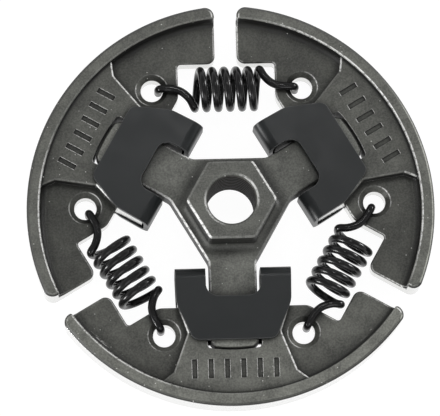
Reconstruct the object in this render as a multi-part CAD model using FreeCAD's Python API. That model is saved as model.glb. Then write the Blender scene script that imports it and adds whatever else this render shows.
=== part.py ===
import FreeCAD, Part
import os
from math import cos, pi, radians, sin, sqrt

# Three-shoe centrifugal clutch of a chainsaw, engine stopped.
# A pressed carrier with a hexagon nose screws onto the crankshaft. Its three arms
# guide three pressed shoes, each tied to its arm by a folded sheet retainer, and
# three tension springs between the shoes pull them in.
# Millimetres. The origin lies on the bore axis at the hub's back face, and +Z
# points along the axis towards the hexagon nose.

Vector = FreeCAD.Vector
UP = Vector(0, 0, 1)
CENTRE = Vector(0, 0, 0)

# Arrangement
shoe_count = 3
hex_sides = 6
first_arm_angle = 30.0
drum_radius = 37.5
shoe_travel = 1.2
gap_half_width = 2.0

# Levels and thicknesses along the axis
shoe_back_level = 1.1
wing_thickness = 3.6
land_rise = 2.4
lip_rise = 3.5
retainer_sheet = 0.9
retainer_play = 0.05
retainer_stand = 0.15
arm_play = 0.35
hub_height = 12.3

# Carrier
hex_across_flats = 14.0
hex_corner_radius = 0.9
hex_top_chamfer = 0.35
hex_foot_fillet = 1.2
thread_minor_radius = 4.32
thread_mouth_chamfer = 0.54
web_flat_distance = 8.75
web_bend_fillet = 2.0
arm_half_width = 4.25
arm_reach = 25.8
arm_tip_chamfer = 0.8
back_boss_radius = 8.0
back_boss_chamfer = 0.4
carrier_edge_break = 0.3

# Shoe, measured along its arm from the axis and across it
slot_play = 0.6
slot_corner_radius = 0.7
stop_gap = 0.3
leg_half_width = 10.0
leg_end_gap = 0.5
leg_end_ease = 0.2
wing_inner_distance = 17.9
wing_bend_fillet = 2.5
wing_tip_radius = 1.5
notch_corner_radius = 0.6
lip_width = 2.3
lip_foot_fillet = 1.2
lip_end_radius = 1.7
friction_edge_chamfer = 0.5
shoe_edge_break = 0.25
land_waist_distance = 22.9
land_waist_inset = 1.7
land_bend_inset = 4.15
land_bend_overhang = 0.95
land_flare_run = 1.9
land_flare_spread = 2.5
recess_play = 0.25

# Plain pressed bars on each shoe's land
bar_count = 6
bar_length = 3.4
bar_width = 0.9
bar_spacing = 2.9
bar_depth = 0.35
bar_distance = 29.4

# Retainer
retainer_nose = 11.2
retainer_fold_radius = 1.9
retainer_outer_distance = 24.3
retainer_ear_overhang = 0.35
retainer_taper_start = 17.7
retainer_taper_overhang = 0.2
retainer_end_inset = 2.7
retainer_corner_radius = 1.6
retainer_taper_radius = 5.0
retainer_slot_play = 0.05
retainer_slot_end = 16.5
retainer_slot_corner_radius = 2.2

# Spring
wire_radius = 0.72
coil_outer_radius = 4.15
coil_pitch = 2.15
coil_turns = 5.5
spring_line_distance = 22.2
spring_level = 4.2
spring_notch_gap = 0.5
hook_room = 2.9
hook_hole_inset = 4.75
hook_hole_play = 1.28
hook_hole_countersink = 0.95
hook_seat_gap = 0.1
hook_lift = 0.08
hook_bend_radius = 1.0
hook_leg_length = 2.2
hook_run_shares = (0.28, 0.52, 0.70, 0.86)
hook_entry_share = 0.95
hook_entry_run = 0.04
hook_entry_drop = 0.25
points_per_turn = 12

# Working values: how far cutting tools run past a piece, how near a place an edge
# stands to be picked there, how level an edge is, and how much of a wall's room a
# fillet may take
cut_margin = 1.0
pick_reach = 0.05
level_error = 0.001
fillet_share = 0.9

# What follows from the driving sizes
sector_angle = 360.0 / shoe_count
gap_angle = radians(sector_angle / 2)
arc_centre = Vector(-shoe_travel, 0, 0)
wing_top = shoe_back_level + wing_thickness
land_top = wing_top + land_rise
rim_top = wing_top + lip_rise
recess_depth = retainer_sheet + retainer_play - retainer_stand
leg_back_level = shoe_back_level + recess_depth
retainer_inner_back = leg_back_level - retainer_play
retainer_inner_front = land_top + retainer_play
arm_back_level = retainer_inner_back + arm_play
arm_front_level = retainer_inner_front - arm_play
slot_half_width = arm_half_width + slot_play
slot_end_radius = arm_reach + stop_gap
leg_end_distance = retainer_nose + retainer_sheet + leg_end_gap
leg_end_round = retainer_fold_radius - retainer_sheet - leg_end_ease
lip_inner_radius = drum_radius - lip_width
land_waist_half_width = leg_half_width - land_waist_inset
land_bend_half_width = leg_half_width + land_bend_overhang
retainer_ear_half_width = leg_half_width + retainer_ear_overhang
retainer_taper_half_width = leg_half_width + retainer_taper_overhang
retainer_end_half_width = leg_half_width - retainer_end_inset
retainer_slot_half_width = slot_half_width + retainer_slot_play
coil_radius = coil_outer_radius - wire_radius
coil_half_length = coil_pitch * coil_turns / 2
notch_floor = spring_line_distance + coil_outer_radius + spring_notch_gap
notch_half_length = coil_half_length + hook_room
hook_hole_offset = notch_half_length + hook_hole_inset
hook_hole_radius = wire_radius + hook_hole_play
hook_level = wing_top + wire_radius + hook_lift
far = 2 * drum_radius


def prism(points, bottom, top):
    """Upright prism over a closed outline of (along, across) points."""
    corners = [Vector(x, y, bottom) for x, y in points]
    outline = Part.makePolygon(corners + corners[:1])
    return Part.Face(outline).extrude(Vector(0, 0, top - bottom))


def mirrored(half):
    """Closed outline from its half on the positive side, first point innermost."""
    return half + [(x, -y) for x, y in reversed(half)]


def disc(radius, bottom, top, centre=CENTRE):
    return Part.makeCylinder(radius, top - bottom, centre + UP * bottom)


def upright_edges(shape, places):
    """Upright straight edges that stand at any of the (along, across) places."""
    found = []
    for edge in shape.Edges:
        box = edge.BoundBox
        if box.XLength > level_error or box.YLength > level_error:
            continue
        middle = edge.CenterOfMass
        for x, y in places:
            if abs(middle.x - x) < pick_reach and abs(middle.y - y) < pick_reach:
                found.append(edge)
    return found


def anywhere(middle):
    return True


def level_edges(shape, level, keep=anywhere):
    """Level edges at one height whose middle point passes the keep test."""
    found = []
    for edge in shape.Edges:
        box = edge.BoundBox
        if abs(box.ZMin - level) > level_error or abs(box.ZMax - level) > level_error:
            continue
        middle = edge.valueAt((edge.FirstParameter + edge.LastParameter) / 2)
        if keep(middle):
            found.append(edge)
    return found


def wall_above(shape, edge):
    """Whether a face that meets a level edge rises above it."""
    faces = shape.ancestorsOfType(edge, Part.Face)
    return max(face.BoundBox.ZMax for face in faces) > edge.BoundBox.ZMax + level_error


def top_edges(shape, level, keep=anywhere):
    """Level edges at one height with nothing above them on either side."""
    return [edge for edge in level_edges(shape, level, keep) if not wall_above(shape, edge)]


def foot_edges(shape, level):
    """Level edges at one height where a wall rises."""
    return [edge for edge in level_edges(shape, level) if wall_above(shape, edge)]


def axis_distance(point, axis):
    """Distance of a point from an upright axis."""
    return sqrt((point.x - axis.x) ** 2 + (point.y - axis.y) ** 2)


def both_sides(places):
    return places + [(x, -y) for x, y in places]


def gap_point(along, across):
    """Place given along and across the gap beside the shoe, in the shoe's own frame."""
    x = along * cos(gap_angle) + across * sin(gap_angle)
    y = along * sin(gap_angle) - across * cos(gap_angle)
    return x, y


def turned(shape, angle):
    copy = shape.copy()
    copy.rotate(CENTRE, UP, angle)
    return copy


def make_plate():
    """Carrier plate: three guide arms with filleted bends between them."""
    tip_along = sqrt(arm_reach ** 2 - arm_half_width ** 2)
    side = [(0, arm_half_width), (far, arm_half_width)]
    arm = prism(mirrored(side), arm_back_level, arm_front_level)
    arm = arm.common(disc(arm_reach, arm_back_level, arm_front_level))
    tips = upright_edges(arm, both_sides([(tip_along, arm_half_width)]))
    arm = arm.makeChamfer(arm_tip_chamfer, tips)
    web_corner = web_flat_distance / cos(gap_angle)
    bend_along = (web_flat_distance - arm_half_width * sin(gap_angle)) / cos(gap_angle)
    arms = []
    corners = []
    bends = []
    for index in range(shoe_count):
        arms.append(turned(arm, index * sector_angle))
        turn = FreeCAD.Rotation(UP, index * sector_angle)
        corner = turn.multVec(Vector(web_corner, 0, 0))
        corners.append((corner.x, corner.y))
        for x, y in both_sides([(bend_along, arm_half_width)]):
            bend = turn.multVec(Vector(x, y, 0))
            bends.append((bend.x, bend.y))
    web = prism(corners, arm_back_level, arm_front_level)
    plate = web.fuse(arms).removeSplitter()
    plate = plate.makeFillet(web_bend_fillet, upright_edges(plate, bends))
    rims = level_edges(plate, arm_front_level) + level_edges(plate, arm_back_level)
    return plate.makeChamfer(carrier_edge_break, rims)


def make_carrier():
    """Plate with the hexagon nose, the back boss and the threaded bore."""
    plate = make_plate()
    half_side = pi / hex_sides
    hex_corner = hex_across_flats / 2 / cos(half_side)
    hex_corners = []
    for index in range(hex_sides):
        angle = half_side * (2 * index + 1)
        hex_corners.append((hex_corner * cos(angle), hex_corner * sin(angle)))
    nose = prism(hex_corners, arm_back_level, hub_height)
    nose = nose.makeFillet(hex_corner_radius, upright_edges(nose, hex_corners))
    nose = nose.makeChamfer(hex_top_chamfer, level_edges(nose, hub_height))
    boss = disc(back_boss_radius, 0, arm_back_level + carrier_edge_break)
    boss = boss.makeChamfer(back_boss_chamfer, level_edges(boss, 0))

    body = plate.fuse([nose, boss]).removeSplitter()
    foot_room = web_flat_distance - carrier_edge_break - hex_across_flats / 2
    body = body.makeFillet(min(hex_foot_fillet, fillet_share * foot_room),
                           foot_edges(body, arm_front_level))
    mouth_radius = thread_minor_radius + thread_mouth_chamfer
    bore = disc(thread_minor_radius, -cut_margin, hub_height + cut_margin)
    front_mouth = Part.makeCone(thread_minor_radius, mouth_radius, thread_mouth_chamfer,
                                UP * (hub_height - thread_mouth_chamfer))
    back_mouth = Part.makeCone(mouth_radius, thread_minor_radius, thread_mouth_chamfer)
    body = body.cut([bore, front_mouth, back_mouth])
    return turned(body, first_arm_angle)


def shoe_outline():
    """Half outline of the shoe's plate: leg, wing inner edge, notch and end face."""
    wing_bend_along = (wing_inner_distance - notch_half_length * sin(gap_angle)) / cos(gap_angle)
    return [
        (leg_end_distance, leg_half_width),
        (wing_inner_distance, leg_half_width),
        gap_point(wing_bend_along, notch_half_length),
        gap_point(notch_floor, notch_half_length),
        gap_point(notch_floor, gap_half_width),
        gap_point(far, gap_half_width),
        (far, far * sin(gap_angle)),
    ]


def land_outline():
    """Half outline of the raised middle, with its waist beside the retainer's end."""
    bend = lip_inner_radius - shoe_travel - land_bend_inset
    return [
        (leg_end_distance, leg_half_width),
        (wing_inner_distance, leg_half_width),
        (land_waist_distance, land_waist_half_width),
        (bend, land_bend_half_width),
        (bend + land_flare_run, land_bend_half_width + land_flare_spread),
        (drum_radius, land_bend_half_width + land_flare_spread),
    ]


def retainer_outline(play=0.0):
    """Half outline of a retainer flange, grown by the play all round."""
    return [
        (retainer_nose - play, retainer_ear_half_width + play),
        (retainer_taper_start, retainer_taper_half_width + play),
        (retainer_outer_distance + play, retainer_end_half_width + play),
    ]


def shoe_slot():
    """Slot that the arm slides in, with a concentric end and rounded corners."""
    side = [(0, slot_half_width), (far, slot_half_width)]
    top = rim_top + cut_margin
    slot = prism(mirrored(side), 0, top).common(disc(slot_end_radius, 0, top))
    corner = sqrt(slot_end_radius ** 2 - slot_half_width ** 2)
    return slot.makeFillet(slot_corner_radius,
                           upright_edges(slot, both_sides([(corner, slot_half_width)])))


def hook_holes():
    """Countersunk holes for the spring hooks, one in each wing."""
    holes = []
    for side in (-1, 1):
        x, y = gap_point(spring_line_distance, hook_hole_offset)
        place = Vector(x, side * y, 0)
        holes.append(disc(hook_hole_radius, 0, rim_top, place))
        sink = place + UP * (wing_top - hook_hole_countersink)
        holes.append(Part.makeCone(hook_hole_radius, hook_hole_radius + hook_hole_countersink,
                                   hook_hole_countersink, sink))
    return holes


def pressed_bars():
    """Plain bars pressed into the land, in a row across the shoe."""
    bars = []
    for index in range(bar_count):
        across = (index - (bar_count - 1) / 2) * bar_spacing
        corner = Vector(bar_distance - bar_length / 2, across - bar_width / 2,
                        land_top - bar_depth)
        bars.append(Part.makeBox(bar_length, bar_width, bar_depth + cut_margin, corner))
    return bars


def make_shoe():
    """One pressed shoe in its own frame, its arm along +X."""
    outline = mirrored(shoe_outline())
    friction_disc = disc(drum_radius, 0, rim_top, arc_centre)
    plate = prism(outline, shoe_back_level, wing_top).common(friction_disc)
    lip = prism(outline, shoe_back_level, rim_top).common(friction_disc)
    lip = lip.cut(disc(lip_inner_radius, 0, rim_top + cut_margin, arc_centre))
    land = prism(mirrored(land_outline()), shoe_back_level, land_top).common(friction_disc)
    shoe = plate.fuse([lip, land]).removeSplitter()

    end_along = sqrt(drum_radius ** 2 - (gap_half_width + shoe_travel * sin(gap_angle)) ** 2)
    end_along -= shoe_travel * cos(gap_angle)
    corners = [
        (gap_point(end_along, gap_half_width), lip_end_radius),
        (gap_point(notch_floor, gap_half_width), wing_tip_radius),
        (gap_point(notch_floor, notch_half_length), notch_corner_radius),
        (shoe_outline()[2], wing_bend_fillet),
    ]
    for corner, radius in corners:
        shoe = shoe.makeFillet(radius, upright_edges(shoe, both_sides([corner])))

    foot = level_edges(shoe, wing_top,
                       lambda middle: abs(axis_distance(middle, arc_centre) - lip_inner_radius)
                       < level_error)
    shoe = shoe.makeFillet(lip_foot_fillet, foot)
    outer = []
    for level in (shoe_back_level, rim_top):
        outer += level_edges(shoe, level,
                             lambda middle: axis_distance(middle, arc_centre)
                             > drum_radius - level_error)
    shoe = shoe.makeChamfer(friction_edge_chamfer, outer)
    shoe = shoe.makeChamfer(shoe_edge_break, top_edges(
        shoe, rim_top,
        lambda middle: axis_distance(middle, arc_centre) < lip_inner_radius + level_error))
    shoe = shoe.makeChamfer(shoe_edge_break, top_edges(
        shoe, land_top, lambda middle: middle.x > leg_end_distance + level_error))
    shoe = shoe.makeChamfer(shoe_edge_break, top_edges(shoe, wing_top))

    recess = prism(mirrored(retainer_outline(recess_play)), 0, leg_back_level)
    shoe = shoe.cut([recess, shoe_slot()] + hook_holes() + pressed_bars())
    leg_ends = []
    for level in (leg_back_level, land_top):
        leg_ends += level_edges(shoe, level,
                                lambda middle: middle.x < leg_end_distance + level_error)
    return shoe.makeFillet(leg_end_round, leg_ends)


def bent_block(nose, back, front, fold_radius):
    """Long block across the shoe whose two edges at the nose are rounded."""
    block = Part.makeBox(far, 2 * far, front - back, Vector(nose, -far, back))
    nose_edges = []
    for level in (back, front):
        nose_edges += level_edges(block, level, lambda middle: middle.x < nose + level_error)
    return block.makeFillet(fold_radius, nose_edges)


def make_retainer():
    """Sheet folded into a U round the shoe's legs, slotted for the arm."""
    front = retainer_inner_front + retainer_sheet
    back = retainer_inner_back - retainer_sheet
    strip = bent_block(retainer_nose, back, front, retainer_fold_radius)
    strip = strip.cut(bent_block(retainer_nose + retainer_sheet, retainer_inner_back,
                                 retainer_inner_front, retainer_fold_radius - retainer_sheet))

    half = retainer_outline()
    plan = prism(mirrored(half), back - cut_margin, front + cut_margin)
    plan = plan.makeFillet(retainer_taper_radius, upright_edges(plan, both_sides([half[1]])))
    plan = plan.makeFillet(retainer_corner_radius, upright_edges(plan, both_sides([half[2]])))
    slot_points = mirrored([(0, retainer_slot_half_width),
                            (retainer_slot_end, retainer_slot_half_width)])
    slot = prism(slot_points, back - cut_margin, front + cut_margin)
    slot_corner = both_sides([(retainer_slot_end, retainer_slot_half_width)])
    slot = slot.makeFillet(retainer_slot_corner_radius, upright_edges(slot, slot_corner))
    return strip.common(plan).cut(slot)


def hook_points():
    """Wire centre from the end in the hole to the coil, for the hook on the +Y side."""
    leg = hook_hole_offset - hook_hole_play + hook_seat_gap
    bend = hook_bend_radius
    slant = bend * (1 - sqrt(0.5))
    points = [
        Vector(0, leg, hook_level - bend - hook_leg_length),
        Vector(0, leg, hook_level - bend - hook_leg_length / 2),
        Vector(0, leg, hook_level - bend),
        Vector(0, leg - slant, hook_level - slant),
        Vector(0, leg - bend, hook_level),
    ]
    run = leg - bend - coil_half_length
    for share in hook_run_shares:
        points.append(Vector(-coil_radius * share ** 3, leg - bend - run * share, hook_level))
    drop = hook_entry_drop * (hook_level - spring_level)
    points.append(Vector(-coil_radius * hook_entry_share,
                         coil_half_length + run * hook_entry_run, hook_level - drop))
    return points


def make_spring():
    """Tension spring with a hook at each end, in a frame whose +X runs along the gap."""
    points = hook_points()
    steps = round(coil_turns * points_per_turn)
    for step in range(steps + 1):
        turn = pi * (2 * coil_turns * step / steps - 1)
        along = coil_half_length * (1 - 2 * step / steps)
        points.append(Vector(coil_radius * cos(turn), along, spring_level + coil_radius * sin(turn)))
    points += [Vector(-point.x, -point.y, point.z) for point in reversed(hook_points())]
    points = [point + Vector(spring_line_distance, 0, 0) for point in points]
    curve = Part.BSplineCurve()
    curve.interpolate(points)
    path = Part.Wire(curve.toShape())
    profile = Part.Wire(Part.Circle(points[0], UP, wire_radius).toShape())
    return path.makePipeShell([profile], True, False)


def write(name, shape):
    solids = shape.Solids
    if len(solids) != 1 or not solids[0].isValid():
        raise ValueError(name + " is not one valid solid")
    solids[0].exportStep("parts/" + name + ".step")
    print(name, round(shape.Volume, 1))


os.makedirs("parts", exist_ok=True)
write("carrier", make_carrier())
shoe = make_shoe()
retainer = make_retainer()
spring = make_spring()
for index in range(shoe_count):
    arm_angle = first_arm_angle + index * sector_angle
    number = str(index + 1)
    write("shoe_" + number, turned(shoe, arm_angle))
    write("retainer_" + number, turned(retainer, arm_angle))
    write("spring_" + number, turned(spring, arm_angle + sector_angle / 2))
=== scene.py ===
import math
from types import SimpleNamespace

import bpy
from mathutils import Matrix, Vector


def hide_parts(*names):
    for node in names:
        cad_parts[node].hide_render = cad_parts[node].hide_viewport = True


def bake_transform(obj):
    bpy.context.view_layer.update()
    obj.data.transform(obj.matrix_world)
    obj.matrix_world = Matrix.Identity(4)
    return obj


# Looks of a three-shoe centrifugal clutch: steam-treated sintered shoes and carrier,
# blackened sheet retainers and oiled black springs on a white table. Metres throughout.
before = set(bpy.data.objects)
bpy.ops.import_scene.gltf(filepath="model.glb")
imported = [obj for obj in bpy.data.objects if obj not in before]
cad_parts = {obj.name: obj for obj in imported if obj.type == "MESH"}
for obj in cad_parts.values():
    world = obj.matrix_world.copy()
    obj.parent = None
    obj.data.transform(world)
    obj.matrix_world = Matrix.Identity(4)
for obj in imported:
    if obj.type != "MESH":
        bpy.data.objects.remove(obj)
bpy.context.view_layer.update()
MM = 0.001

# Arrangement, the same as in the part's construction
shoe_count = 3
hex_sides = 6
first_arm_angle = 30.0
sector_angle = 360.0 / shoe_count
drum_radius = 37.5 * MM
shoe_travel = 1.2 * MM
wing_top = 4.7 * MM
arm_front_level = 6.8 * MM
land_top = 7.1 * MM
rim_top = 8.2 * MM
hub_height = 12.3 * MM
nose_half_width = 7.0 * MM
lip_inner_radius = 35.2 * MM
slot_half_width = 4.85 * MM
slot_end_radius = 26.1 * MM
wing_inner_distance = 17.9 * MM
thread_minor_radius = 4.32 * MM
thread_pitch = 1.25 * MM

# Spring, the same as in the part's construction
wire_radius = 0.72 * MM
coil_radius = 3.43 * MM
coil_pitch = 2.15 * MM
coil_turns = 5.5
coil_half_length = coil_pitch * coil_turns / 2
spring_line_distance = 22.2 * MM
spring_level = 4.2 * MM
hook_leg_offset = 12.38 * MM
hook_level = 5.5 * MM
hook_bend_radius = 1.0 * MM
hook_leg_length = 2.2 * MM
hook_run_shares = (0.28, 0.52, 0.70, 0.86)
hook_entry_share = 0.95
hook_entry_run = 0.04
hook_entry_drop = 0.25

# Steps of the spring's mesh, and where along the coil its two halves meet
tube_sides = 20
steps_per_turn = 40
steps_per_hook_span = 8
hook_lead_turns = 1 / 12
meeting_turns = 3.25

# Colours, where a pair runs from the darker to the lighter. Each shoe's lightness is painted
# light, lightest on the front shoe, on the front lamp's side
shoe_colour = (0.108, 0.110, 0.098)
shoe_painted_lightness = (1.12, 1.00, 1.45)
carrier_colour = (0.178, 0.182, 0.164)
speck_colour = (0.80, 0.80, 0.77)
# Worn edges, which also carry a painted highlight
worn_highlight_colour = (0.86, 0.86, 0.84)
burnished_colour = (0.62, 0.62, 0.60)
ground_colours = (0.50, 0.50, 0.49), (0.93, 0.93, 0.91)
# Painted shade in the bore: thread roots dark, crests lighter
thread_shade_colours = (0.014, 0.012, 0.010), (0.090, 0.083, 0.074)
sheet_colours = (0.0100, 0.0125, 0.0135), (0.0140, 0.0165, 0.0175)
# Paler cut edges, which also carry a painted highlight
sheet_edge_highlight_colour = (0.20, 0.20, 0.20)
wire_colours = (0.0075, 0.0075, 0.008), (0.013, 0.013, 0.0135)
table_paper_colour = (0.8, 0.8, 0.8)
table_seen_colour = (0.10, 0.10, 0.10)
table_glow = 0.97
horizon_colour = (0.95, 0.95, 0.95)
overhead_colour = (0.30, 0.30, 0.30)

# Patterns on the surfaces: how large their features are, and how deep
steel_cloud_size = 3.5 * MM
steel_grain_size = 0.30 * MM
steel_grain_depth = 0.02 * MM
speck_spacing = 0.95 * MM
speck_size = 0.12 * MM
scratch_size = 0.12 * MM
scratch_depth = 0.006 * MM
thread_depth = 0.5 * MM
sheet_cloud_size = 4 * MM
sheet_grain_size = 0.25 * MM
sheet_grain_depth = 0.006 * MM
wire_cloud_size = 1.5 * MM

# Painted shade and light: how far round a corner the painted shade reaches, and factors on the
# steel's colour that paint shade and light
shoe_shade_reach = 1.8 * MM
carrier_shade_reach = 3.2 * MM
lip_foot_reach = 2.2 * MM
lip_foot_shade = 0.13
lip_top_gain = 1.25
nose_foot_reach = 3.2 * MM
nose_foot_shade = 0.42
nose_top_shade = 0.73
arm_tip_start = 22 * MM
arm_tip_end = 24 * MM
arm_tip_gain = 2.3

# Wear and painted highlight. Edges that face along the key and side lamps' compass line are
# painted brightest. Each band is the level of an edge with the depth below it that is worn and
# painted bright
highlight_azimuth = 27.0
shoe_edge_bands = ((wing_top, 0.10 * MM), (land_top, 0.20 * MM), (rim_top, 0.13 * MM))
carrier_edge_bands = ((arm_front_level, 0.25 * MM), (hub_height, 0.28 * MM))
band_softness = 0.04 * MM
steel_edge_radius = 0.20 * MM
sheet_edge_radius = 0.12 * MM
wear_highlight_gain = 1.3
edge_patch_size = 0.6 * MM
edge_open_reach = 0.8 * MM
arm_tip_edge_share = 0.3
bore_mouth_start = 5.0 * MM
bore_mouth_end = 5.4 * MM
bore_mouth_edge_share = 0.45

# Table. It lies just below the hub's back face, so that the two don't share a plane
table_half_width = 1.5
table_level = -0.05 * MM

# Lamps: name, compass angle and height angle in degrees, distance, size and power
lamps = (
    ("key_lamp", 207, 15, 0.45, 0.11, 1.00),
    ("side_lamp", 27, 15, 0.45, 0.11, 0.80),
    ("front_lamp", 280, 40, 0.45, 0.20, 0.25),
    ("top_lamp", 83, 70, 0.50, 0.03, 0.14),
)

# Camera, fitted to the photograph's frame of 440 by 416
image_width = 440
focal_pixels = 3007.9
camera_distance = 540 * MM
camera_tilt = math.radians(12.45)
camera_azimuth = math.radians(-10.76)
camera_roll = math.radians(-9.23)
offset_right_pixels = 10.33
offset_up_pixels = -0.29
sensor_width = 36.0


def shade_tree(name):
    """New material with its node tree and the surface shader."""
    material = bpy.data.materials.new(name)
    material.use_nodes = True
    tree = material.node_tree
    return material, tree, tree.nodes["Principled BSDF"]


def feed(tree, value, socket):
    """Link another socket in, or set the socket's own number, vector or colour."""
    if isinstance(value, bpy.types.NodeSocket):
        tree.links.new(value, socket)
    elif socket.type == "RGBA":
        socket.default_value = (*value, 1)
    else:
        socket.default_value = value


def math_node(tree, operation, *values, clamp=False):
    """Result of a math operation on one or two numbers or sockets."""
    node = tree.nodes.new("ShaderNodeMath")
    node.operation = operation
    node.use_clamp = clamp
    for socket, value in zip(node.inputs, values):
        feed(tree, value, socket)
    return node.outputs[0]


def chain(tree, operation, *values):
    """Math operation taken over several values from the left."""
    result = values[0]
    for value in values[1:]:
        result = math_node(tree, operation, result, value)
    return result


def product(tree, *values):
    return chain(tree, "MULTIPLY", *values)


def largest(tree, *values):
    return chain(tree, "MAXIMUM", *values)


def ramp(tree, value, low, high, start=0.0, end=1.0):
    """Smooth step of a value from start, at low, to end, at high."""
    node = tree.nodes.new("ShaderNodeMapRange")
    node.interpolation_type = "SMOOTHSTEP"
    feed(tree, value, node.inputs["Value"])
    feed(tree, low, node.inputs["From Min"])
    feed(tree, high, node.inputs["From Max"])
    feed(tree, start, node.inputs["To Min"])
    feed(tree, end, node.inputs["To Max"])
    return node.outputs["Result"]


def spread(tree, pattern, start=0.0, end=1.0):
    """Noise stretched so that it fills the range from start to end."""
    return ramp(tree, pattern, 0.3, 0.7, start, end)


def noise(tree, place, size, detail):
    """Noise whose features are about one size across."""
    node = tree.nodes.new("ShaderNodeTexNoise")
    feed(tree, place, node.inputs["Vector"])
    feed(tree, 1 / size, node.inputs["Scale"])
    feed(tree, detail, node.inputs["Detail"])
    return node.outputs["Fac"]


def blend(tree, data_type, factor, first, second):
    node = tree.nodes.new("ShaderNodeMix")
    node.data_type = data_type
    feed(tree, factor, node.inputs["Factor"])
    feed(tree, first, node.inputs["A"])
    feed(tree, second, node.inputs["B"])
    return node.outputs["Result"]


def blend_colour(tree, factor, first, second):
    """First colour where the factor is nought, second where it is one."""
    return blend(tree, "RGBA", factor, first, second)


def blend_value(tree, factor, first, second):
    """First value where the factor is nought, second where it is one."""
    return blend(tree, "FLOAT", factor, first, second)


def bump(tree, height, distance, strength, normal):
    """Normal tipped by a height map."""
    node = tree.nodes.new("ShaderNodeBump")
    feed(tree, height, node.inputs["Height"])
    feed(tree, distance, node.inputs["Distance"])
    feed(tree, strength, node.inputs["Strength"])
    feed(tree, normal, node.inputs["Normal"])
    return node.outputs["Normal"]


def along(tree, vector, direction):
    """Share of one vector along another."""
    node = tree.nodes.new("ShaderNodeVectorMath")
    node.operation = "DOT_PRODUCT"
    feed(tree, vector, node.inputs[0])
    feed(tree, direction, node.inputs[1])
    return node.outputs["Value"]


def surface_facts(tree):
    """Place on the piece, its coordinates, and how far the surface tilts from level."""
    coordinates = tree.nodes.new("ShaderNodeTexCoord")
    place = coordinates.outputs["Object"]
    position = tree.nodes.new("ShaderNodeSeparateXYZ")
    feed(tree, place, position.inputs["Vector"])
    facing = tree.nodes.new("ShaderNodeSeparateXYZ")
    feed(tree, coordinates.outputs["Normal"], facing.inputs["Vector"])
    level = math_node(tree, "ABSOLUTE", facing.outputs["Z"])
    return SimpleNamespace(place=place, x=position.outputs["X"], y=position.outputs["Y"],
                           height=position.outputs["Z"],
                           tilt=math_node(tree, "SUBTRACT", 1.0, level))


def true_normal(tree):
    """Normal of the face itself, without any rounding."""
    return tree.nodes.new("ShaderNodeNewGeometry").outputs["True Normal"]


def distance_from(tree, spot, centre=(0.0, 0.0)):
    """Distance of the shaded point from an upright axis."""
    squares = []
    for socket, offset in zip((spot.x, spot.y), centre):
        gap = math_node(tree, "SUBTRACT", socket, offset)
        squares.append(product(tree, gap, gap))
    return math_node(tree, "SQRT", math_node(tree, "ADD", *squares))


def rounded_normal(tree, radius):
    """Normal that runs smoothly over the piece's edges."""
    node = tree.nodes.new("ShaderNodeBevel")
    node.samples = 6
    feed(tree, radius, node.inputs["Radius"])
    return node.outputs["Normal"]


def openness(tree, reach, inside=False):
    """Share of open sky within reach: low in corners, or inside, low beneath sharp edges."""
    node = tree.nodes.new("ShaderNodeAmbientOcclusion")
    node.samples = 8
    node.inside = inside
    node.only_local = inside
    feed(tree, reach, node.inputs["Distance"])
    return node.outputs["AO"]


def specks(tree, place):
    """Sparse round specks on a piece: about one in five of the spaces has one."""
    node = tree.nodes.new("ShaderNodeTexVoronoi")
    feed(tree, place, node.inputs["Vector"])
    feed(tree, 1 / speck_spacing, node.inputs["Scale"])
    colour = tree.nodes.new("ShaderNodeSeparateColor")
    feed(tree, node.outputs["Color"], colour.inputs["Color"])
    near = ramp(tree, node.outputs["Distance"], 0.5 * speck_size / speck_spacing,
                speck_size / speck_spacing, 1.0, 0.0)
    return product(tree, near, ramp(tree, colour.outputs["Red"], 0.78, 0.84))


def bevel_faces(tree, spot, bands):
    """One on the narrow sloping faces that lie in one of the bands."""
    sloping = product(tree, ramp(tree, spot.tilt, 0.12, 0.20),
                      ramp(tree, spot.tilt, 0.40, 0.50, 1.0, 0.0))
    near = []
    for level, depth in bands:
        away = math_node(tree, "SUBTRACT", spot.height, level - depth / 2)
        away = math_node(tree, "ABSOLUTE", away)
        near.append(ramp(tree, away, depth / 2, depth / 2 + band_softness, 1.0, 0.0))
    return product(tree, sloping, largest(tree, *near))


def edge_wear_and_highlight(tree, normal, bevelled):
    """One along edges, as wear and painted highlight: most on edges that face the key and side
    lamps' compass line, less on the others, nought on flat faces. An edge is where the rounded
    normal leaves the face's own."""
    turned = ramp(tree, along(tree, normal, true_normal(tree)), 0.984, 0.999, 1.0, 0.0)
    azimuth = math.radians(highlight_azimuth)
    toward_lamps = along(tree, normal, (math.cos(azimuth), math.sin(azimuth), 0))
    toward_lamps = math_node(tree, "ABSOLUTE", toward_lamps)
    level = along(tree, normal, (0, 0, 1))
    sideways = math_node(tree, "SUBTRACT", 1.001, product(tree, level, level))
    toward_lamps = math_node(tree, "DIVIDE", toward_lamps, math_node(tree, "SQRT", sideways))
    return product(tree, largest(tree, turned, bevelled),
                   ramp(tree, toward_lamps, 0.58, 0.92, 0.08, 1.0))


def hexagon_distance(tree, place):
    """Distance from the axis measured square to the nearest flat of the nose."""
    reach = []
    for index in range(hex_sides // 2):
        azimuth = math.radians(first_arm_angle + index * 360 / hex_sides)
        square = along(tree, place, (math.cos(azimuth), math.sin(azimuth), 0))
        reach.append(math_node(tree, "ABSOLUTE", square))
    return largest(tree, *reach)


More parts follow.
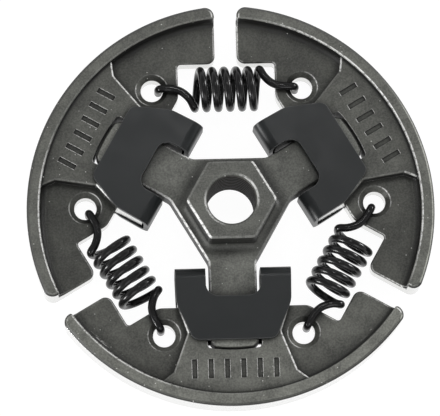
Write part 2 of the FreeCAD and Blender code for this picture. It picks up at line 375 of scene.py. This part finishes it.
def sintered_steel(name, colour, painted_light_and_shade, corner_shade_reach, edge_bands):
    """Steam-treated sintered steel: mottled on its faces, with painted shade in its corners and
    on its walls, and worn and painted bright along its edges. The painted light and shade
    function gives a factor for the faces and one for the worn, highlighted edges."""
    material, tree, shader = shade_tree(name)
    spot = surface_facts(tree)
    clouds = noise(tree, spot.place, steel_cloud_size, 5.0)
    grain = noise(tree, spot.place, steel_grain_size, 3.0)
    mottle = math_node(tree, "ADD", spread(tree, clouds, 0.80, 1.20),
                       spread(tree, grain, -0.25, 0.25))
    # Painted shade: darker in corners and close to walls
    painted_corner_shade = ramp(tree, openness(tree, corner_shade_reach), 0.42, 0.97, 0.20, 1.0)
    # Painted shade: steep walls darker than level faces
    painted_wall_shade = ramp(tree, spot.tilt, 0.45, 0.90, 1.0, 0.20)
    face_factor, edge_factor = painted_light_and_shade(tree, spot)
    plain = tree.nodes.new("ShaderNodeVectorMath")
    plain.operation = "SCALE"
    feed(tree, colour, plain.inputs[0])
    feed(tree, product(tree, mottle, painted_corner_shade, painted_wall_shade, face_factor), plain.inputs["Scale"])
    dots = specks(tree, spot.place)
    faces = blend_colour(tree, dots, plain.outputs["Vector"], speck_colour)

    rounded = rounded_normal(tree, steel_edge_radius)
    # Wear with a painted highlight along the edges, brightest towards the lamps
    edge = edge_wear_and_highlight(tree, rounded, bevel_faces(tree, spot, edge_bands))
    patchy = ramp(tree, noise(tree, spot.place, edge_patch_size, 4.0), 0.38, 0.52, 0.30, 1.0)
    in_reach = ramp(tree, openness(tree, edge_open_reach), 0.74, 0.92)
    edge = product(tree, edge, patchy, in_reach)
    gain = product(tree, edge_factor, wear_highlight_gain)
    edge = math_node(tree, "MULTIPLY", edge, gain, clamp=True)
    sockets = {
        "Base Color": blend_colour(tree, edge, faces, worn_highlight_colour),
        "Roughness": blend_value(tree, edge, spread(tree, clouds, 0.45, 0.58), 0.30),
        "Normal": bump(tree, grain, steel_grain_depth, 0.5, rounded),
    }
    return material, tree, shader, spot, sockets


def join_up(tree, shader, sockets):
    """Feed a shader's sockets by their names."""
    for name, socket in sockets.items():
        feed(tree, socket, shader.inputs[name])


def shoe_steel(arm_angle, painted_lightness):
    """Sintered steel whose outer walls are burnished and whose friction face is ground bright.
    Its slot and the sides of its raised middle stay as dull as its faces."""
    angle = math.radians(arm_angle)
    arm_x, arm_y = math.cos(angle), math.sin(angle)
    centre = (-shoe_travel * arm_x, -shoe_travel * arm_y)

    def painted_light_and_shade(tree, spot):
        """Painted shade at the lip's foot, lighter on the lip, with the bevel beside the
        friction face painted bright where it faces +X and painted darker elsewhere. Edges
        aren't worn or highlighted at the friction face."""
        radius = distance_from(tree, spot, centre)
        # Painted shade at the lip's foot
        beside_lip = product(
            tree,
            ramp(tree, radius, lip_inner_radius - lip_foot_reach, lip_inner_radius - 0.3 * MM),
            ramp(tree, spot.height, wing_top - 0.2 * MM, wing_top + 0.2 * MM))
        at_lip = ramp(tree, radius, lip_inner_radius - 0.50 * MM, lip_inner_radius - 0.1 * MM)
        on_land = ramp(tree, spot.height, land_top - 0.3 * MM, land_top - 0.1 * MM)
        below_rim = ramp(tree, spot.height, rim_top - 0.35 * MM, rim_top - 0.2 * MM, 1.0, 0.0)
        shadow = product(tree, blend_value(tree, on_land, beside_lip, at_lip), below_rim)
        top = ramp(tree, spot.height, land_top + 0.3 * MM, rim_top - 0.2 * MM,
                   1.0, lip_top_gain)
        inside_bevel = ramp(tree, radius, drum_radius - 0.58 * MM, drum_radius - 0.44 * MM,
                            1.0, 0.0)
        # Painted highlight and shade on the bevel beside the friction face, by the way it faces
        toward_lamps = ramp(tree, along(tree, true_normal(tree), (1, 0, 0)), 0.52, 0.68, 0.40, 2.4)
        bevel = blend_value(tree, inside_bevel, toward_lamps, 1.0)
        inner = ramp(tree, radius, drum_radius - 1.0 * MM, drum_radius - 0.8 * MM, 1.0, 0.0)
        return blend_value(tree, shadow, product(tree, top, bevel), lip_foot_shade), inner

    def burnished(tree, spot):
        """One on the wings, the legs and the rim, apart from the slot."""
        outward = along(tree, spot.place, (arm_x, arm_y, 0))
        across = math_node(tree, "ABSOLUTE", along(tree, spot.place, (-arm_y, arm_x, 0)))
        beside_slot = ramp(tree, across, slot_half_width + 0.1 * MM, slot_half_width + 0.3 * MM)
        past_slot = ramp(tree, outward, slot_end_radius + 0.2 * MM, slot_end_radius + 0.4 * MM)
        wing = ramp(tree, spot.height, wing_top, wing_top + 0.1 * MM, 1.0, 0.0)
        leg = ramp(tree, outward, wing_inner_distance, wing_inner_distance + 0.2 * MM, 1.0, 0.0)
        rim = ramp(tree, distance_from(tree, spot, centre), lip_inner_radius + 0.1 * MM,
                   lip_inner_radius + 0.3 * MM)
        return product(tree, largest(tree, wing, leg, rim),
                       largest(tree, beside_slot, past_slot))

    # The shoe's colour is scaled by its painted lightness
    material, tree, shader, spot, sockets = sintered_steel(
        "shoe_steel_" + str(round(arm_angle)), tuple(part * painted_lightness for part in shoe_colour),
        painted_light_and_shade, shoe_shade_reach, shoe_edge_bands)
    wall = product(tree, ramp(tree, spot.tilt, 0.80, 0.97), burnished(tree, spot))
    ground = ramp(tree, distance_from(tree, spot, centre), drum_radius - 0.06 * MM,
                  drum_radius - 0.03 * MM)
    lines = tree.nodes.new("ShaderNodeCombineXYZ")
    feed(tree, spot.height, lines.inputs["Z"])
    scratches = noise(tree, lines.outputs["Vector"], scratch_size, 4.0)
    scratched = blend_colour(tree, spread(tree, scratches), *ground_colours)
    colour = blend_colour(tree, wall, sockets["Base Color"], burnished_colour)
    sockets["Base Color"] = blend_colour(tree, ground, colour, scratched)
    bare = largest(tree, wall, ground)
    sockets["Metallic"] = bare
    sockets["Roughness"] = blend_value(tree, bare, sockets["Roughness"], 0.24)
    sockets["Normal"] = bump(tree, product(tree, scratches, ground), scratch_depth, 0.4,
                             sockets["Normal"])
    sockets["Coat Weight"] = wall
    sockets["Coat IOR"] = 1.8
    sockets["Coat Roughness"] = 0.2
    join_up(tree, shader, sockets)
    return material


def carrier_steel():
    """Sintered steel with painted shade in the bore: dark thread roots and lighter crests."""
    def painted_light_and_shade(tree, spot):
        """Painted shade round the nose's foot, darker on its top, and painted light at the
        arms' tips.
        Edges at the bore's mouth and the tips are worn and highlighted less."""
        radius = distance_from(tree, spot)
        # Painted shade round the nose's foot
        beside_nose = ramp(tree, hexagon_distance(tree, spot.place), nose_half_width + 0.8 * MM,
                           nose_half_width + nose_foot_reach, nose_foot_shade, 1.0)
        top = ramp(tree, spot.height, hub_height - 0.40 * MM, hub_height - 0.25 * MM)
        nose = blend_value(tree, top, beside_nose, nose_top_shade)
        # Painted light at the arms' tips
        tip = ramp(tree, radius, arm_tip_start, arm_tip_end, 1.0, arm_tip_gain)
        mouth_edge = ramp(tree, radius, bore_mouth_start, bore_mouth_end, bore_mouth_edge_share, 1.0)
        tip_edge = ramp(tree, radius, arm_tip_start, arm_tip_end, 1.0, arm_tip_edge_share)
        return product(tree, nose, tip), product(tree, mouth_edge, tip_edge)

    material, tree, shader, spot, sockets = sintered_steel(
        "carrier_steel", carrier_colour, painted_light_and_shade, carrier_shade_reach, carrier_edge_bands)
    # Painted shade in the bore, darkest in the thread's roots
    bore = ramp(tree, distance_from(tree, spot), thread_minor_radius + 0.02 * MM,
                thread_minor_radius + 0.06 * MM, 1.0, 0.0)
    turn = math_node(tree, "DIVIDE", math_node(tree, "ARCTAN2", spot.y, spot.x), 2 * math.pi)
    climb = math_node(tree, "ADD", math_node(tree, "DIVIDE", spot.height, thread_pitch), turn)
    ridge = math_node(tree, "PINGPONG", climb, 0.5)
    painted_thread_shade = blend_colour(tree, ramp(tree, ridge, 0.30, 0.45), *thread_shade_colours)
    sockets["Base Color"] = blend_colour(tree, bore, sockets["Base Color"], painted_thread_shade)
    sockets["Roughness"] = blend_value(tree, bore, sockets["Roughness"], 0.62)
    sockets["Normal"] = bump(tree, product(tree, ridge, bore), thread_depth, 1.0,
                             sockets["Normal"])
    sockets["Specular IOR Level"] = blend_value(tree, bore, 0.5, 0.1)
    join_up(tree, shader, sockets)
    return material


def retainer_sheet():
    """Blackened spring steel sheet, smooth and faintly blue, with paler cut edges that carry a
    painted highlight.
    """
    material, tree, shader = shade_tree("retainer_sheet")
    spot = surface_facts(tree)
    clouds = noise(tree, spot.place, sheet_cloud_size, 4.0)
    grain = noise(tree, spot.place, sheet_grain_size, 3.0)
    rounded = rounded_normal(tree, sheet_edge_radius)
    colour = blend_colour(tree, spread(tree, clouds), *sheet_colours)
    # Cut edges paler, with a painted highlight
    edge = openness(tree, sheet_edge_radius, inside=True)
    edge = ramp(tree, edge, 0.55, 0.85, 0.8, 0.0)
    join_up(tree, shader, {
        "Base Color": blend_colour(tree, edge, colour, sheet_edge_highlight_colour),
        "Roughness": spread(tree, clouds, 0.34, 0.42),
        "IOR": 1.5,
        "Normal": bump(tree, grain, sheet_grain_depth, 0.3, rounded),
    })
    return material


def spring_wire():
    """Oiled black spring wire."""
    material, tree, shader = shade_tree("spring_wire")
    spot = surface_facts(tree)
    clouds = noise(tree, spot.place, wire_cloud_size, 3.0)
    join_up(tree, shader, {
        "Base Color": blend_colour(tree, ramp(tree, clouds, 0.35, 0.7), *wire_colours),
        "Roughness": spread(tree, clouds, 0.17, 0.24),
        "IOR": 1.45,
    })
    return material


def dress(node, material):
    """Give a piece of the frame its material."""
    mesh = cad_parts[node].data
    mesh.materials.clear()
    mesh.materials.append(material)


def smooth_path(points, steps):
    """Curve through the points, with a number of steps in each span."""
    path = []
    ends = [points[0] * 2 - points[1]] + points + [points[-1] * 2 - points[-2]]
    for before, start, end, after in zip(ends, ends[1:], ends[2:], ends[3:]):
        for step in range(steps):
            t = step / steps
            path.append((start * 2 + (end - before) * t
                         + (before * 2 - start * 5 + end * 4 - after) * t ** 2
                         + (start * 3 - before - end * 3 + after) * t ** 3) / 2)
    return path + [points[-1]]


def hook_points():
    """Wire centre from the end in the hole to the coil, for the hook on the +Y side."""
    leg = hook_leg_offset
    bend = hook_bend_radius
    slant = bend * (1 - math.sqrt(0.5))
    points = [
        Vector((0, leg, hook_level - bend - hook_leg_length)),
        Vector((0, leg, hook_level - bend - hook_leg_length / 2)),
        Vector((0, leg, hook_level - bend)),
        Vector((0, leg - slant, hook_level - slant)),
        Vector((0, leg - bend, hook_level)),
    ]
    run = leg - bend - coil_half_length
    for share in hook_run_shares:
        points.append(Vector((-coil_radius * share ** 3, leg - bend - run * share, hook_level)))
    drop = hook_entry_drop * (hook_level - spring_level)
    points.append(Vector((-coil_radius * hook_entry_share,
                          coil_half_length + hook_entry_run * run, hook_level - drop)))
    return points


def coil_point(turns):
    """Wire centre after a number of turns from the coil's +Y end."""
    angle = 2 * math.pi * turns - math.pi
    return Vector((coil_radius * math.cos(angle), coil_half_length - coil_pitch * turns,
                   spring_level + coil_radius * math.sin(angle)))


def spring_path():
    """Wire centre from hook to hook, and the step where the two halves meet underneath."""
    lead_in = smooth_path(hook_points() + [coil_point(0), coil_point(hook_lead_turns)],
                          steps_per_hook_span)
    lead_in = lead_in[:-steps_per_hook_span - 1]
    steps = round(coil_turns * steps_per_turn)
    coil = [coil_point(step / steps_per_turn) for step in range(steps + 1)]
    meeting = len(lead_in) + round(meeting_turns * steps_per_turn)
    lead_out = [Vector((-point.x, -point.y, point.z)) for point in reversed(lead_in)]
    outward = Vector((spring_line_distance, 0, 0))
    return [point + outward for point in lead_in + coil + lead_out], meeting


def tube(name, path, radius):
    """Closed round tube along a path, with smooth normals that run on past its ends."""
    directions = []
    for index in range(len(path)):
        ahead = path[min(index + 1, len(path) - 1)]
        behind = path[max(index - 1, 0)]
        directions.append((ahead - behind).normalized())
    side = directions[0].orthogonal().normalized()
    vertices = []
    normals = []
    for index, direction in enumerate(directions):
        if index > 0:
            side = directions[index - 1].rotation_difference(direction) @ side
        other = direction.cross(side)
        for step in range(tube_sides):
            angle = 2 * math.pi * step / tube_sides
            normal = side * math.cos(angle) + other * math.sin(angle)
            normals.append(normal)
            vertices.append(path[index] + normal * radius)
    faces = []
    for ring in range(len(path) - 1):
        first = ring * tube_sides
        for step in range(tube_sides):
            after = (step + 1) % tube_sides
            faces.append((first + step, first + after, first + tube_sides + after,
                          first + tube_sides + step))
    last = (len(path) - 1) * tube_sides
    faces.append(tuple(reversed(range(tube_sides))))
    faces.append(tuple(range(last, last + tube_sides)))
    mesh = bpy.data.meshes.new(name)
    mesh.from_pydata(vertices, [], faces)
    mesh.update()
    corner_normals = []
    for polygon in mesh.polygons:
        end_face = len(polygon.vertices) > 4
        polygon.use_smooth = not end_face
        for corner in polygon.vertices:
            corner_normals.append(polygon.normal.copy() if end_face else normals[corner])
    mesh.normals_split_custom_set(corner_normals)
    piece = bpy.data.objects.new(name, mesh)
    bpy.context.scene.collection.objects.link(piece)
    return piece


def build_springs(material):
    """Each spring as two halves, from the hook in either shoe to the coil's middle."""
    path, meeting = spring_path()
    for index in range(shoe_count):
        gap_angle = math.radians(first_arm_angle + (index + 0.5) * sector_angle)
        turn = Matrix.Rotation(gap_angle, 4, "Z")
        node = "spring_" + str(index + 1)
        behind_shoe = "shoe_" + str(index + 1)
        ahead_shoe = "shoe_" + str((index + 1) % shoe_count + 1)
        halves = (
            (node + "_ahead_half", path[:meeting + 1], ahead_shoe, coil_half_length),
            (node + "_behind_half", path[meeting:], behind_shoe, -coil_half_length),
        )
        for name, half_path, shoe, coil_end in halves:
            piece = tube(name, [turn @ point for point in half_path], wire_radius)
            piece.data.materials.append(material)
            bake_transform(piece)
            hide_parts(node)


def bright_to_view(tree):
    """One for what the camera sees directly, in gloss or through glass."""
    path = tree.nodes.new("ShaderNodeLightPath")
    return largest(tree, path.outputs["Is Camera Ray"], path.outputs["Is Glossy Ray"],
                   path.outputs["Is Transmission Ray"])


def build_floor():
    """White table that keeps a faint shadow. It glows white to the camera, in gloss and
    through glass, and to all other light it is plain paper."""
    half = table_half_width
    corners = [(-half, -half, table_level), (half, -half, table_level),
               (half, half, table_level), (-half, half, table_level)]
    mesh = bpy.data.meshes.new("table")
    mesh.from_pydata(corners, [], [(0, 1, 2, 3)])
    table = bpy.data.objects.new("table", mesh)
    bpy.context.scene.collection.objects.link(table)
    material, tree, shader = shade_tree("white_table")
    view = bright_to_view(tree)
    join_up(tree, shader, {
        "Base Color": blend_colour(tree, view, table_paper_colour, table_seen_colour),
        "Roughness": 1.0,
        "Specular IOR Level": 0.0,
        "Emission Color": (1, 1, 1),
        "Emission Strength": product(tree, view, table_glow),
    })
    mesh.materials.append(material)


def build_world():
    """White round the horizon, darker overhead."""
    world = bpy.data.worlds.new("tent")
    bpy.context.scene.world = world
    world.use_nodes = True
    tree = world.node_tree
    coordinates = tree.nodes.new("ShaderNodeTexCoord")
    direction = tree.nodes.new("ShaderNodeSeparateXYZ")
    feed(tree, coordinates.outputs["Generated"], direction.inputs["Vector"])
    height = ramp(tree, direction.outputs["Z"], 0.05, 0.70)
    join_up(tree, tree.nodes["Background"], {
        "Color": blend_colour(tree, height, horizon_colour, overhead_colour),
        "Strength": 1.0,
    })


def add_lamp(name, azimuth, elevation, distance, size, power):
    """Square lamp that faces the clutch from a compass angle and a height angle."""
    lamp = bpy.data.lights.new(name, "AREA")
    lamp.size = size
    lamp.energy = power
    piece = bpy.data.objects.new(name, lamp)
    a = math.radians(azimuth)
    e = math.radians(elevation)
    away = Vector((math.cos(a) * math.cos(e), math.sin(a) * math.cos(e), math.sin(e)))
    piece.location = away * distance
    piece.rotation_mode = "QUATERNION"
    piece.rotation_quaternion = away.to_track_quat("Z", "Y")
    bpy.context.scene.collection.objects.link(piece)


def build_camera():
    """Camera of the photograph: near the axis, tipped and rolled a little."""
    tilt = camera_tilt
    azimuth = camera_azimuth
    roll = camera_roll
    back = Vector((math.sin(tilt) * math.sin(azimuth), -math.sin(tilt) * math.cos(azimuth),
                   math.cos(tilt)))
    level_right = Vector((math.cos(azimuth), math.sin(azimuth), 0))
    level_up = back.cross(level_right)
    right = level_right * math.cos(roll) - level_up * math.sin(roll)
    up = level_right * math.sin(roll) + level_up * math.cos(roll)
    pivot = Vector((0, 0, wing_top))
    place = pivot + back * camera_distance
    pixel = camera_distance / focal_pixels
    target = pivot - right * (offset_right_pixels * pixel) - up * (offset_up_pixels * pixel)
    back = (place - target).normalized()
    right = (right - back * right.dot(back)).normalized()
    up = back.cross(right)
    lens = bpy.data.cameras.new("camera")
    lens.sensor_width = sensor_width
    lens.lens = sensor_width * focal_pixels / image_width
    camera = bpy.data.objects.new("camera", lens)
    turn = Matrix((right, up, back)).transposed().to_4x4()
    camera.matrix_world = Matrix.Translation(place) @ turn
    bpy.context.scene.collection.objects.link(camera)
    bpy.context.scene.camera = camera


bpy.context.scene.view_settings.view_transform = "Standard"
dress("carrier", carrier_steel())
sheet = retainer_sheet()
for index, painted_lightness in enumerate(shoe_painted_lightness):
    number = str(index + 1)
    dress("shoe_" + number, shoe_steel(first_arm_angle + index * sector_angle, painted_lightness))
    dress("retainer_" + number, sheet)
build_springs(spring_wire())
build_floor()
build_world()
for lamp in lamps:
    add_lamp(*lamp)
build_camera()
